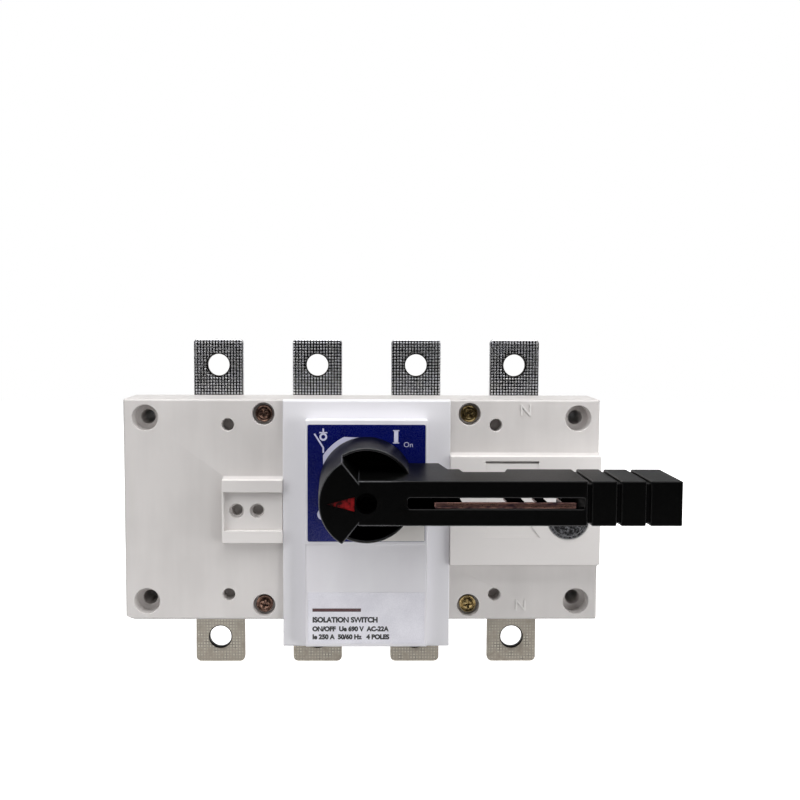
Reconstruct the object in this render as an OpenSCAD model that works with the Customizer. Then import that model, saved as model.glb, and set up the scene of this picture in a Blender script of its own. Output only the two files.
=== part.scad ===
// Four-pole rotary disconnect switch with a side-arm handle, shown in its OFF position.
// X runs to the right, Z up, and the front faces -Y. The flat back lies on Y = 0, and the
// origin is the centre of the four mounting holes on it. A "height" is a distance in front
// of the back face, so a point at height h lies at Y = -h.

/* [Housing] */
// Depth of the rear half, from the back face to the parting plane
base_d = 36; // [30:0.5:42]
// Depth of the front half, from the parting plane to the front face
front_d = 24; // [21:0.5:30]
// Height of the housing at the parting plane
body_h = 109.6; // [104:0.2:112]
// How much the top and the bottom lean in towards the front face
body_draft = 0.6; // [0.2:0.1:1.2]
// How much they lean in behind the parting plane, towards the back
base_draft = 2.2; // [0.5:0.1:3]
// Wall outside the outer poles, left and right
side_wall = 15.5; // [14:0.5:20]
// Radius of the upright corners
corner_r = 2; // [1:0.5:3]
// Chamfer round the edges of the front face
edge_chamfer = 0.8; // [0.4:0.1:1.2]
// Width of the clipped lower left corner
clip_w = 5.5; // [4:0.5:7]
// Height of the clipped lower left corner
clip_h = 2.4; // [2.1:0.1:3.5]

/* [Mounting] */
// Mounting holes, from the side edges
mount_inset_x = 10.5; // [9:0.5:12]
// Mounting holes, from the top and the bottom edges
mount_inset_z = 9.8; // [8.4:0.1:11]
// Diameter of the mounting holes
mount_hole_d = 7; // [6:0.1:8]
// Diameter of their counterbores
mount_cbore_d = 12.5; // [11:0.1:14]
// Depth of their counterbores
mount_cbore_depth = 8; // [6:0.5:12]

/* [Poles] */
// Distance between poles
pole_pitch = 50; // [49:0.5:56]
// How far the poles and the drive axis lie right of the housing's centre
mech_x = 2.2; // [1:0.1:4]
// Width of a terminal bar
term_w = 25; // [22:0.5:28]
// Thickness of a terminal bar
term_t = 3.5; // [3:0.1:4.5]
// How far a terminal stands out of the housing
term_out = 28.2; // [26:0.1:34]
// How far a terminal runs into the housing
term_in = 16; // [12:0.5:18]
// Diameter of the bolt hole in a terminal
term_hole_d = 11; // [9:0.1:12]
// Bolt hole, from the terminal's end
term_hole_inset = 13; // [12:0.5:14]
// Corner radius of the upper terminals
term_corner_up = 1.7; // [0.4:0.1:3]
// Corner radius of the lower terminals
term_corner_low = 2.5; // [0.8:0.1:4]
// Clearance round a terminal in its slot
slot_gap = 0.1; // [0.05:0.05:0.2]

/* [Housing details] */
// Cover screws, from the top and the bottom edges
screw_inset_z = 7.8; // [7:0.1:9]
// Distance of the cover screws from the drive axis
screw_x = 50; // [48.5:0.5:52]
// Diameter of the screw pockets
screw_pocket_d = 10.8; // [10:0.1:11.5]
// Depth of the screw pockets
screw_pocket_depth = 5; // [4.5:0.5:7]
// Diameter of the screw heads
screw_head_d = 9; // [8:0.1:9.6]
// Height of the screw heads
screw_head_t = 3.2; // [2.6:0.1:3.6]
// Diameter of the screw shanks
screw_shank_d = 5; // [4:0.1:6]
// Length of the screw shanks
screw_shank_l = 30; // [22:1:34]
// Clearance round a screw shank
screw_gap = 0.1; // [0.05:0.05:0.2]
// Small blind holes, from the side edges
pilot_inset_x = 50.5; // [48:0.5:53]
// Small blind holes, from the top and the bottom edges
pilot_inset_z = 13.1; // [12:0.1:14.5]
// Diameter of the small blind holes
pilot_d = 6; // [4:0.1:7]
// Depth of the small blind holes
pilot_depth = 9; // [4:0.5:12]
// Depth of the pockets moulded in the back face
back_pocket_depth = 2; // [1:0.1:3]
// Rib left round and between the back pockets
back_rib = 5; // [4:0.5:7]

/* [Raised pads] */
// How far the pads stand in front of the front face
pad_rise = 5; // [4:0.1:6.5]
// Radius of the hollow fillets above and below the pads
pad_fillet = 1.6; // [1:0.1:3]
// Height of the right pad
band_h = 53; // [48:0.5:56]
// Left pad, from the cover's left edge
rail_w = 29.2; // [27:0.1:32]
// Height of the left pad
rail_h = 30.6; // [28:0.1:34]
// Height of its channel
channel_h = 18.6; // [16:0.1:20]
// Depth of its channel
channel_depth = 2.5; // [1.5:0.1:4.2]
// Diameter of the two holes in the channel
rail_hole_d = 7; // [6:0.1:7.6]
// Diameter of the deeper inner holes
rail_core_d = 5.2; // [4:0.1:5.8]
// Distance between the two holes
rail_hole_pitch = 10; // [9:0.1:11]
// First hole, from the pad's left edge
rail_hole_inset = 6.8; // [5.5:0.1:8]
// Width of the shallow panel recess in the right pad
recess_w = 25.6; // [22:0.1:30]
// Height of the panel recess
recess_h = 37; // [34:0.5:40]
// Left edge of the panel recess, from the cover's right edge
recess_inset = 17; // [14:0.1:18]
// Top of the panel recess, from the top of the pad
recess_drop = 2.4; // [1.5:0.1:4]
// Height of its flared foot
recess_foot = 5.2; // [3:0.1:8]
// How much it narrows towards the foot, on the left
recess_taper = 1.5; // [0.5:0.1:2]
// Depth of the panel recess
recess_depth = 0.6; // [0.4:0.1:1.4]
// Width of the groove along its top
recess_line_w = 0.7; // [0.5:0.1:1.2]
// Depth of that groove
recess_line_d = 2.2; // [1.5:0.1:3]
// Diameter of the round plug in the right pad
plug_d = 20; // [18:0.1:21]
// Thickness of the plug
plug_t = 4; // [3:0.1:5]
// How far its rim stands proud of the pad
plug_proud = 0.5; // [0.3:0.1:1]
// Width of its rim
plug_rim = 1.6; // [1:0.1:2.5]
// Plug centre, from the housing's right side
plug_inset = 15.6; // [14.5:0.1:16.5]
// Plug centre, below the centre line
plug_drop = 3.2; // [2:0.1:5]
// Clearance round the plug
plug_gap = 0.1; // [0.05:0.05:0.2]

/* [Mechanism cover] */
// Width of the cover
cover_w = 81; // [78:0.5:84]
// How far the cover hangs below the housing's front face
cover_hang = 12.7; // [11:0.1:16]
// Thickness of the cover's flange
flange_t = 2.4; // [2:0.1:3]
// How far the plateau stands in front of the housing's front face
plateau_rise = 11; // [9.5:0.1:13]
// Width of the plateau
plateau_w = 58.4; // [58:0.1:61]
// Flange above the plateau
flange_top = 9.2; // [7:0.1:9.5]
// Flange below the plateau
flange_bottom = 2.4; // [2:0.1:3.5]
// How far the lower part of the plateau lies behind the dial zone
panel_step = 0.9; // [0.5:0.1:1.5]
// Margin of the dial zone round the dial plate
dial_margin = 1.4; // [0.8:0.1:1.8]
// Wall of the overhang, which is open at the back
hang_wall = 2.5; // [2:0.1:3]

/* [Labels] */
// Side of the square dial plate
dial_side = 56; // [54:0.2:57]
// Thickness of the dial plate
dial_t = 0.4; // [0.3:0.1:0.8]
// Corner radius of the dial plate
dial_corner = 0.8; // [0.4:0.1:2]
// Width of the rating label
rating_w = 56; // [50:0.5:57.5]
// Height of the rating label
rating_h = 25; // [20:0.5:27]
// Thickness of the rating label
rating_t = 0.2; // [0.1:0.05:0.4]
// Rating label, above the bottom of the plateau
rating_up = 1.5; // [0.5:0.1:2.5]

/* [Drive] */
// Height of the drive axis above the centre of the mounting holes
axis_z = 14.8; // [14:0.1:16]
// Diameter of the shaft where it turns in the cover
shaft_d = 12; // [10:0.1:13]
// Side of the shaft's square end in the hub
shaft_square = 8; // [6:0.1:8.4]
// How deep the square end sits in the hub
shaft_seat = 11; // [8:0.5:12]
// How far the shaft runs back into the housing
shaft_in = 14; // [10:0.5:18]
// Running clearance of the shaft, on the radius
shaft_gap = 0.05; // [0.03:0.01:0.09]

/* [Handle] */
// Gap between the dial plate and the hub
hub_gap = 1; // [0.6:0.1:2]
// Height of the hub's cup
cup_h = 36; // [34:0.5:40]
// How far the fan and the arm stand in front of the cup's rim
grip_rise = 20; // [18:0.5:22]
// Radius of the hub at its base
hub_r_base = 22.4; // [21.5:0.1:24]
// Radius of the hub at the rim
hub_r_rim = 21.1; // [20.6:0.1:21.4]
// Radius of the fan at the front
hub_r_front = 20.1; // [19.5:0.1:20.5]
// Wall of the cup
cup_wall = 1.3; // [1:0.1:3]
// Thickness of the cup's floor
cup_floor = 14; // [13:0.5:16]
// Width of the arm at the front
arm_w = 19; // [18:0.1:20.4]
// How much wider the arm is on each side at its root
arm_draft = 1; // [0.4:0.1:1.4]
// Length of the arm from the axis
arm_l = 132.7; // [128:0.1:140]
// Depth of the grip
grip_d = 33.5; // [30:0.1:36]
// Distance from the axis to the end of the deep root
root_l = 34; // [32:0.1:36]
// Clearance between the arm's root and the dial zone
root_gap = 5.4; // [5:0.1:8]
// Length of the shallow notch behind the arm
notch_l = 18; // [16:0.1:20]
// Start of the notch, from the axis
notch_x = 43; // [42:0.1:45]
// Depth of the notch
notch_d = 8; // [6:0.1:9]
// Where the fan's edges meet the arm, left of the axis
fan_root = 3.6; // [2.5:0.1:5]
// Lean of the fan's edges from the arm
fan_angle = 51; // [45:0.5:55]
// Distance between the grip grooves
rib_pitch = 12.35; // [12:0.05:12.8]
// First groove, from the axis
rib_x = 93.6; // [93.4:0.1:95]
// Width of the grip grooves
rib_w = 1.9; // [1.2:0.1:2.4]
// Depth of the grip grooves
rib_depth = 1; // [0.6:0.1:1.4]
// Diameter of the recess for the handle screw
bolt_recess_d = 9; // [8.8:0.1:9.4]
// Depth of the recess for the handle screw
bolt_recess_depth = 12; // [9:0.5:14]
// Diameter of the handle screw's head
bolt_head_d = 8.4; // [7:0.1:8.6]
// Height of the handle screw's head
bolt_head_t = 5; // [4:0.1:6]
// Diameter of the handle screw's shank
bolt_d = 5; // [4:0.1:5.5]
// Length of the handle screw's shank
bolt_l = 42; // [36:0.5:44]
// Width across the corners of its hexagon socket
bolt_hex = 4.6; // [3:0.1:5]
// Length of the pointer
pointer_l = 11.6; // [10:0.1:13]
// Base of the pointer, left of the axis
pointer_x = 5; // [4.9:0.1:7]
// Width of the pointer at its base
pointer_w = 6.2; // [5:0.1:8]
// How far the pointer lies below the axis
pointer_drop = 0.4; // [0:0.1:1]
// Thickness of the pointer
pointer_t = 1.2; // [0.8:0.1:2]
// How far the pointer lies below the hub's front
pointer_sunk = 0.3; // [0.2:0.1:0.6]

/* [Padlock tab] */
// Width of the slot along the front of the arm
slot_w = 4.7; // [4.6:0.1:5.6]
// Start of the slot, from the axis
slot_x = 17.3; // [16.5:0.1:18]
// Length of the slot
slot_l = 74.3; // [73.8:0.1:75.2]
// Half the width of the channel behind the slot
channel_half = 6.2; // [5.6:0.1:6.6]
// Thickness of the arm's front wall
arm_wall = 4; // [3:0.1:4.5]
// Height of the tab's front lip
tab_t = 2.5; // [2:0.1:3.2]
// Thickness of the tab behind its lip
plate_t = 1.2; // [0.8:0.1:1.8]
// Gap under the tab in the slot
tab_gap = 0.3; // [0.2:0.05:0.5]
// Start of the tab, from the axis
tab_x = 28.2; // [27:0.1:29]
// Length of the tab
tab_l = 60.3; // [60:0.1:61]
// Depth of the tab
tab_d = 15; // [13:0.1:16]
// Depth of the tab's front lip
tab_lip = 1.6; // [1:0.1:3]
// How far the tab's front edge lies below the arm's front
tab_sunk = 0.4; // [0.3:0.1:0.8]
// Diameter of the tab's pin
pin_d = 3; // [2.4:0.1:3.4]
// Pin, from the outer end of the tab
pin_inset = 4.2; // [3.5:0.1:5]
// Pin, below the arm's front
pin_deep = 7.5; // [7:0.1:8.5]
// Running clearance of the pin, on the radius
pin_gap = 0.05; // [0.03:0.01:0.09]

/* [Hidden] */
$fn = 64;
eps = 0.01;
POLES = 4;

body_w = POLES * pole_pitch + 2 * side_wall;
body_d = base_d + front_d;
face_h = body_h - 2 * body_draft;
term_end = body_h / 2 + term_out;
term_hole_z = term_end - term_hole_inset;
term_start = body_h / 2 - term_in;
mount_x = body_w / 2 - mount_inset_x;
mount_z = body_h / 2 - mount_inset_z;
screw_z = body_h / 2 - screw_inset_z;
pilot_x = body_w / 2 - pilot_inset_x;
pilot_z = body_h / 2 - pilot_inset_z;

cover_left = mech_x - cover_w / 2;
cover_right = mech_x + cover_w / 2;
cover_bottom = -face_h / 2 - cover_hang;
plateau_top = face_h / 2 - flange_top;
plateau_bottom = cover_bottom + flange_bottom;
dial_front = body_d + plateau_rise;
panel_front = dial_front - panel_step;
dial_zone_bottom = axis_z - dial_side / 2 - dial_margin;
rail_left = cover_left - rail_w;
pad_front = body_d + pad_rise;
band_top = band_h / 2 + 0.5;
recess_left = cover_right + recess_inset;
recess_top = band_top - recess_drop;
plug_x = body_w / 2 - plug_inset;

hub_base = dial_front + dial_t + hub_gap;
cup_bottom = hub_base + cup_floor;
rim_front = hub_base + cup_h;
arm_front = rim_front + grip_rise;
grip_back = arm_front - grip_d;
root_back = dial_front + root_gap;
screw_seat = body_d - screw_pocket_depth;
pin_x = tab_x + tab_l - pin_inset;
pin_height = arm_front - pin_deep;
bolt_seat = arm_front - bolt_recess_depth;
tab_bottom = tab_gap - slot_w / 2;

// Notches in the back edge of the tab: start from the axis, length
TAB_NOTCHES = [[40.3, 18.9], [66.6, 5], [76.2, 6.2]];
GROOVES = [for (i = [0:2]) rib_x + i * rib_pitch];
SIDES = [1, -1];

function pole_x(i) = mech_x + (i - (POLES - 1) / 2) * pole_pitch;

// Draws a front view (X, Z) and gives it depth from height h0 to height h1
module slab(h0, h1) {
    rotate([90, 0, 0])
        translate([0, 0, h0])
            linear_extrude(height = h1 - h0)
                children();
}

// Carries a section drawn as (height, Z) along X from x0 to x1
module bar_x(x0, x1) {
    translate([x1, 0, 0])
        rotate([90, 0, -90])
            linear_extrude(height = x1 - x0)
                children();
}

// Carries a plan drawn as (X, height) along Z from z0 to z1
module bar_z(z0, z1) {
    translate([0, 0, z1])
        rotate([180, 0, 0])
            linear_extrude(height = z1 - z0)
                children();
}

// A round bar or cone along the depth, at (x, z), from height h0 to height h1
module post(x, z, h0, h1, r0, r1) {
    translate([x, -h0, z])
        rotate([90, 0, 0])
            cylinder(h = h1 - h0, r1 = r0, r2 = r1);
}

// A rectangle from corner to corner
module rect(x0, x1, z0, z1) {
    translate([x0, z0])
        square([x1 - x0, z1 - z0]);
}

// A rectangle with round corners
module round_rect(x0, x1, z0, z1, r) {
    rect(x0 + r, x1 - r, z0, z1);
    rect(x0, x1, z0 + r, z1 - r);
    for (x = [x0 + r, x1 - r], z = [z0 + r, z1 - r])
        translate([x, z])
            circle(r = r);
}

// Front view of the housing, with its one clipped corner
module body_outline() {
    difference() {
        round_rect(-body_w / 2, body_w / 2, -body_h / 2, body_h / 2, corner_r);
        polygon([
            [-body_w / 2 - 1, -body_h / 2 - 1],
            [-body_w / 2 + clip_w, -body_h / 2 - 1],
            [-body_w / 2 + clip_w, -body_h / 2],
            [-body_w / 2, -body_h / 2 + clip_h],
            [-body_w / 2 - 1, -body_h / 2 + clip_h]
        ]);
    }
}

// Section of a pad with hollow fillets above and below it, as (height, Z)
function fillet_points(z, side) = [
    for (i = [0:8])
        let (a = 90 * i / 8)
            [body_d + pad_rise - pad_rise * cos(a), z + side * (pad_fillet - pad_fillet * sin(a))]
];
function reversed(p) = [for (i = [len(p) - 1:-1:0]) p[i]];
module pad_section(z0, z1) {
    polygon(concat(
        [[body_d - 1, z0 - pad_fillet]],
        fillet_points(z0, -1),
        reversed(fillet_points(z1, 1)),
        [[body_d - 1, z1 + pad_fillet]]
    ));
}

module mount_bores() {
    for (x = [-mount_x, mount_x], z = [-mount_z, mount_z]) {
        post(x, z, -1, body_d + 1, mount_hole_d / 2, mount_hole_d / 2);
        post(x, z, body_d - mount_cbore_depth, body_d + 1, mount_cbore_d / 2, mount_cbore_d / 2);
    }
}

// A cover screw's place, counted from the upper left one
function screw_place(i) = [mech_x + (i % 2 == 0 ? -1 : 1) * screw_x, (i < 2 ? 1 : -1) * screw_z];

module screw_bores() {
    for (i = [0:3])
        let (p = screw_place(i), r = screw_shank_d / 2 + screw_gap)
            post(p[0], p[1], screw_seat - screw_shank_l - 1, screw_seat + 1, r, r);
}

// The slots that the terminals lie in, open at the parting plane
module terminal_slots() {
    for (i = [0:POLES - 1], s = SIDES)
        let (
            x = pole_x(i),
            w = term_w / 2 + slot_gap,
            z0 = s * (term_start - slot_gap),
            z1 = s * (body_h / 2 + 1)
        )
            slab(base_d - term_t - 2 * slot_gap, base_d + 1)
                rect(x - w, x + w, min(z0, z1), max(z0, z1));
}

module base_housing() {
    color("gainsboro")
        difference() {
            base_block();
            mount_bores();
            screw_bores();
            terminal_slots();
            back_pockets();
        }
}

// Rear half of the block: it leans in towards its back face
module base_block() {
    z0 = body_h / 2 - base_draft;
    z1 = body_h / 2;
    intersection() {
        slab(0, base_d)
            body_outline();
        bar_x(-body_w, body_w)
            polygon([
                [-1, -z0],
                [0, -z0],
                [base_d + 1, -z1],
                [base_d + 1, z1],
                [0, z0],
                [-1, z0]
            ]);
    }
}

// Shallow pockets in the back face, one under each pole
module back_pockets() {
    edge_x = mount_x - mount_cbore_d / 2 - back_rib / 2;
    lane = 2 * edge_x / POLES;
    for (i = [0:POLES - 1])
        let (x = -edge_x + (i + 0.5) * lane, w = lane / 2 - back_rib / 2, z = mount_z - back_rib)
            slab(-1, back_pocket_depth)
                round_rect(x - w, x + w, -z, z, corner_r);
}

module front_housing() {
    color("gainsboro")
        difference() {
            union() {
                front_block();
                intersection() {
                    right_band();
                    slab(body_d - 2, pad_front + 1)
                        body_outline();
                }
                left_rail();
            }
            mount_bores();
            screw_bores();
            for (i = [0:3])
                let (p = screw_place(i), r = screw_pocket_d / 2)
                    post(p[0], p[1], screw_seat, body_d + 1, r, r);
            for (x = [-pilot_x, pilot_x], z = [-pilot_z, pilot_z])
                post(x, z, body_d - pilot_depth, body_d + 1, pilot_d / 2, pilot_d / 2);
            post(mech_x, axis_z, body_d - shaft_in, pad_front, shaft_d / 2 + shaft_gap, shaft_d / 2 + shaft_gap);
            rail_cuts();
            panel_recess();
            post(plug_x, -plug_drop, pad_front - plug_t, pad_front + 1, plug_d / 2 + plug_gap, plug_d / 2 + plug_gap);
        }
}

// Main block of the front half: it leans in towards its chamfered front face
module front_block() {
    z0 = body_h / 2;
    z1 = face_h / 2;
    c = edge_chamfer;
    intersection() {
        slab(base_d, body_d)
            body_outline();
        bar_x(-body_w, body_w)
            polygon([
                [base_d - 1, -z0],
                [body_d - c, -z1],
                [body_d, -z1 + c],
                [body_d, z1 - c],
                [body_d - c, z1],
                [base_d - 1, z0]
            ]);
        bar_z(-body_h, body_h)
            polygon([
                [-body_w / 2, base_d],
                [body_w / 2, base_d],
                [body_w / 2, body_d - c],
                [body_w / 2 - c, body_d],
                [-body_w / 2 + c, body_d],
                [-body_w / 2, body_d - c]
            ]);
    }
}

// Raised pad across the right of the front
module right_band() {
    bar_x(cover_right, body_w / 2)
        pad_section(-band_h / 2 + 0.5, band_top);
}

// Raised pad on the left, where an auxiliary contact block clips on
module left_rail() {
    bar_x(rail_left, cover_left)
        pad_section(-rail_h / 2, rail_h / 2);
}

module rail_cuts() {
    floor_h = pad_front - channel_depth;
    slab(floor_h, pad_front + 1)
        rect(rail_left + 1, cover_left + 1, -channel_h / 2, channel_h / 2);
    for (i = [0, 1])
        let (x = rail_left + rail_hole_inset + i * rail_hole_pitch) {
            post(x, 0, floor_h - 3, floor_h + 1, rail_hole_d / 2, rail_hole_d / 2);
            post(x, 0, floor_h - 7, floor_h + 1, rail_core_d / 2, rail_core_d / 2);
        }
}

// Shallow panel in the right pad: it narrows down to a flared foot, and a groove runs along its top
module panel_recess() {
    x0 = recess_left;
    x1 = recess_left + recess_w;
    z1 = recess_top;
    z0 = recess_top - recess_h;
    waist = z0 + recess_foot;
    slab(pad_front - recess_depth, pad_front + 1)
        polygon([
            [x0, z1],
            [x1, z1],
            [x1 - 2.2 * recess_taper, waist],
            [x1 + recess_taper / 2, z0],
            [x0 - recess_taper / 2, z0],
            [x0 + recess_taper, waist]
        ]);
    slab(pad_front - recess_line_d, pad_front + 1)
        rect(x0, x1, z1 - recess_line_w, z1);
}

module mechanism_cover() {
    x0 = mech_x - plateau_w / 2;
    x1 = mech_x + plateau_w / 2;
    c = edge_chamfer;
    f = body_d + flange_t;
    color("whitesmoke")
        difference() {
            union() {
                // The flange, and the housing's own slot behind the overhang
                bar_x(cover_left, cover_right)
                    polygon([
                        [body_d, cover_bottom],
                        [f - c, cover_bottom],
                        [f, cover_bottom + c],
                        [f, face_h / 2 - c],
                        [f - c, face_h / 2],
                        [body_d, face_h / 2]
                    ]);
                // The plateau, whose lower end leans up towards the front
                bar_x(x0, x1)
                    polygon([
                        [body_d, cover_bottom],
                        [panel_front, plateau_bottom],
                        [panel_front, dial_zone_bottom],
                        [dial_front, dial_zone_bottom],
                        [dial_front, plateau_top],
                        [body_d, plateau_top]
                    ]);
            }
            post(mech_x, axis_z, body_d - 1, dial_front + 1, shaft_d / 2 + shaft_gap, shaft_d / 2 + shaft_gap);
            overhang_hollow();
        }
}

// The overhang below the housing is open at the back
module overhang_hollow() {
    x0 = mech_x - plateau_w / 2 + hang_wall;
    x1 = mech_x + plateau_w / 2 - hang_wall;
    slab(body_d - 1, panel_front - hang_wall)
        rect(x0, x1, plateau_bottom + hang_wall - 1, -body_h / 2 - 1);
}

module dial_plate() {
    color("navy")
        difference() {
            slab(dial_front, dial_front + dial_t)
                round_rect(
                    mech_x - dial_side / 2,
                    mech_x + dial_side / 2,
                    axis_z - dial_side / 2,
                    axis_z + dial_side / 2,
                    dial_corner
                );
            post(mech_x, axis_z, dial_front - 1, dial_front + dial_t + 1, shaft_d / 2 + 1, shaft_d / 2 + 1);
        }
}

module rating_label() {
    color("white")
        slab(panel_front, panel_front + rating_t)
            rect(
                mech_x - rating_w / 2,
                mech_x + rating_w / 2,
                plateau_bottom + rating_up,
                plateau_bottom + rating_up + rating_h
            );
}

module round_plug() {
    r = plug_d / 2;
    color("dimgray")
        difference() {
            post(plug_x, -plug_drop, pad_front - plug_t, pad_front + plug_proud, r, r);
            post(plug_x, -plug_drop, pad_front, pad_front + 1, r - plug_rim, r - plug_rim);
        }
}

// One terminal bar; side is 1 for the upper row and -1 for the lower row
module terminal(i, side, corner) {
    x = pole_x(i);
    h1 = base_d - slot_gap;
    color("silver")
        difference() {
            slab(h1 - term_t, h1)
                mirror([0, side > 0 ? 0 : 1])
                    union() {
                        rect(x - term_w / 2, x + term_w / 2, term_start, term_end - corner);
                        rect(x - term_w / 2 + corner, x + term_w / 2 - corner, term_start, term_end);
                        for (s = SIDES)
                            translate([x + s * (term_w / 2 - corner), term_end - corner])
                                circle(r = corner);
                    }
            post(x, side * term_hole_z, h1 - term_t - 1, h1 + 1, term_hole_d / 2, term_hole_d / 2);
        }
}

// A recessed cross-head screw; the head's crown is a flat cone
module cover_screw(i) {
    p = screw_place(i);
    top = screw_seat + screw_head_t;
    r = screw_head_d / 2;
    color(i % 2 == 0 ? "saddlebrown" : "darkgoldenrod")
        difference() {
            union() {
                post(p[0], p[1], screw_seat, top - 0.9, r, r);
                post(p[0], p[1], top - 0.9, top, r, r - 1.6);
                post(p[0], p[1], screw_seat - screw_shank_l, screw_seat, screw_shank_d / 2, screw_shank_d / 2);
            }
            for (w = [[4.6, 1.1], [1.1, 4.6]])
                slab(top - 1.8, top + 1)
                    translate(p)
                        square(w, center = true);
        }
}

module drive_shaft() {
    r = bolt_d / 2 + screw_gap;
    color("silver")
        translate([mech_x, 0, axis_z])
            difference() {
                union() {
                    post(0, 0, body_d - shaft_in + 0.5, hub_base, shaft_d / 2, shaft_d / 2);
                    slab(hub_base, hub_base + shaft_seat)
                        square(shaft_square, center = true);
                }
                post(0, 0, bolt_seat - bolt_l - 1, hub_base + shaft_seat + 1, r, r);
            }
}

// Half the arm's width at height h: it widens evenly from the front to the root
function arm_half(h) = arm_w / 2 + arm_draft * (arm_front - h) / (arm_front - root_back);

// Section of the arm as (height, Z), drawn in by inset on every side
module arm_section(inset) {
    h0 = root_back + inset;
    h1 = arm_front - inset;
    polygon([
        [h0, -arm_half(h0) + inset],
        [h1, -arm_half(h1) + inset],
        [h1, arm_half(h1) - inset],
        [h0, arm_half(h0) - inset]
    ]);
}

// Side view of the arm as (X, height), with the axis at X = 0
module arm_side() {
    polygon([
        [-fan_root, cup_bottom - 1],
        [0, root_back],
        [root_l, root_back],
        [root_l + 2.8, grip_back],
        [notch_x - 1, grip_back],
        [notch_x, grip_back + notch_d],
        [notch_x + notch_l, grip_back + notch_d],
        [notch_x + notch_l + 2, grip_back],
        [arm_l, grip_back],
        [arm_l, arm_front],
        [-fan_root, arm_front]
    ]);
}

module arm() {
    difference() {
        intersection() {
            bar_z(-hub_r_base, hub_r_base)
                arm_side();
            bar_x(-fan_root, arm_l)
                arm_section(0);
        }
        for (x = GROOVES)
            difference() {
                bar_x(x - rib_w / 2, x + rib_w / 2)
                    rect(root_back, arm_front + 1, -hub_r_base, hub_r_base);
                bar_x(x - rib_w, x + rib_w)
                    groove_core();
            }
    }
}

// What the grip grooves leave standing
module groove_core() {
    h0 = grip_back + rib_depth;
    h1 = arm_front - rib_depth;
    polygon([
        [h0, -arm_half(h0) + rib_depth],
        [h1, -arm_half(h1) + rib_depth],
        [h1, arm_half(h1) - rib_depth],
        [h0, arm_half(h0) - rib_depth]
    ]);
}

// The hub's full outline, from its base to the rim and on to the front of the fan
module hub_blank() {
    post(0, 0, hub_base, rim_front, hub_r_base, hub_r_rim);
    post(0, 0, rim_front, arm_front, hub_r_rim, hub_r_front);
}

module hub_cup() {
    difference() {
        post(0, 0, hub_base, rim_front, hub_r_base, hub_r_rim);
        post(0, 0, cup_bottom, rim_front + 1, hub_r_rim - cup_wall, hub_r_rim - cup_wall);
    }
}

// The fan: the hub's full height between two edges that lean away from the arm
module fan() {
    reach = 2 * hub_r_base;
    w = arm_w / 2 - 0.5;
    intersection() {
        hub_blank();
        slab(cup_bottom - 1, arm_front)
            polygon([
                [-fan_root, w],
                [-fan_root - reach * cos(fan_angle), w + reach * sin(fan_angle)],
                [-reach, w + reach * sin(fan_angle)],
                [-reach, -w - reach * sin(fan_angle)],
                [-fan_root - reach * cos(fan_angle), -w - reach * sin(fan_angle)],
                [-fan_root, -w],
                [0, -w],
                [0, w]
            ]);
    }
}

// Everything that is hollow behind the arm's slot; at the back only the part below the tab is open
module slot_cuts() {
    x1 = slot_x + slot_l;
    tab_top = tab_bottom + tab_t;
    floor_h = grip_back + notch_d + 1;
    wall_h = arm_front - arm_wall;
    slab(floor_h, arm_front + 1)
        round_rect(slot_x, x1, -slot_w / 2, slot_w / 2, 1);
    slab(floor_h, wall_h)
        round_rect(slot_x, x1, -channel_half, channel_half, 1);
    slab(root_back, wall_h)
        round_rect(root_l + 4, pin_x + 1.5, -channel_half, tab_top, 1);
}

module handle() {
    color("black")
        translate([mech_x, 0, axis_z])
            difference() {
                union() {
                    hub_cup();
                    fan();
                    arm();
                }
                slot_cuts();
                slab(hub_base - 1, hub_base + shaft_seat + 0.5)
                    square(shaft_square + 0.2, center = true);
                post(0, 0, bolt_seat, arm_front + 1, bolt_recess_d / 2, bolt_recess_d / 2);
                post(0, 0, hub_base + shaft_seat, bolt_seat + 1, bolt_d / 2 + screw_gap, bolt_d / 2 + screw_gap);
                slab(arm_front - pointer_sunk - pointer_t, arm_front + 1)
                    pointer_outline(0.1);
                translate([pin_x, -pin_height, -channel_half - 2.5])
                    cylinder(h = 2 * channel_half + 5, r = pin_d / 2 + 0.02);
            }
}

module pointer_outline(gap) {
    polygon([
        [-pointer_x + gap, pointer_w / 2 + gap - pointer_drop],
        [-pointer_x - pointer_l - 2 * gap, -pointer_drop],
        [-pointer_x + gap, -pointer_w / 2 - gap - pointer_drop]
    ]);
}

// The socket-head screw that holds the handle on its shaft
module handle_screw() {
    top = bolt_seat + bolt_head_t;
    color("dimgray")
        translate([mech_x, 0, axis_z])
            difference() {
                union() {
                    post(0, 0, bolt_seat - bolt_l, bolt_seat, bolt_d / 2, bolt_d / 2);
                    post(0, 0, bolt_seat, top, bolt_head_d / 2, bolt_head_d / 2);
                }
                post(0, 0, top - bolt_d / 2, top + 1, bolt_hex / 2, bolt_hex / 2, $fn = 6);
            }
}

module pointer() {
    color("firebrick")
        translate([mech_x, 0, axis_z])
            slab(arm_front - pointer_sunk - pointer_t, arm_front - pointer_sunk)
                pointer_outline(0);
}

// The padlock tab: a notched steel plate with a lip along its front, on a pin at its outer end
module padlock_tab() {
    h1 = arm_front - tab_sunk;
    h0 = h1 - tab_d;
    tab_top = tab_bottom + tab_t;
    color("rosybrown")
        translate([mech_x, 0, axis_z])
            difference() {
                bar_z(tab_bottom, tab_top)
                    round_rect(tab_x, tab_x + tab_l, h0, h1, 1.5);
                bar_z(tab_bottom - 1, tab_top - plate_t)
                    rect(tab_x - 1, tab_x + tab_l + 1, h0 - 1, h1 - tab_lip);
                bar_z(tab_bottom - 1, tab_top + 1)
                    for (n = TAB_NOTCHES)
                        rect(n[0], n[0] + n[1], h0 - 1, h1 - tab_lip);
                translate([pin_x, -pin_height, -slot_w])
                    cylinder(h = 2 * slot_w, r = pin_d / 2 + pin_gap);
            }
}

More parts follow.
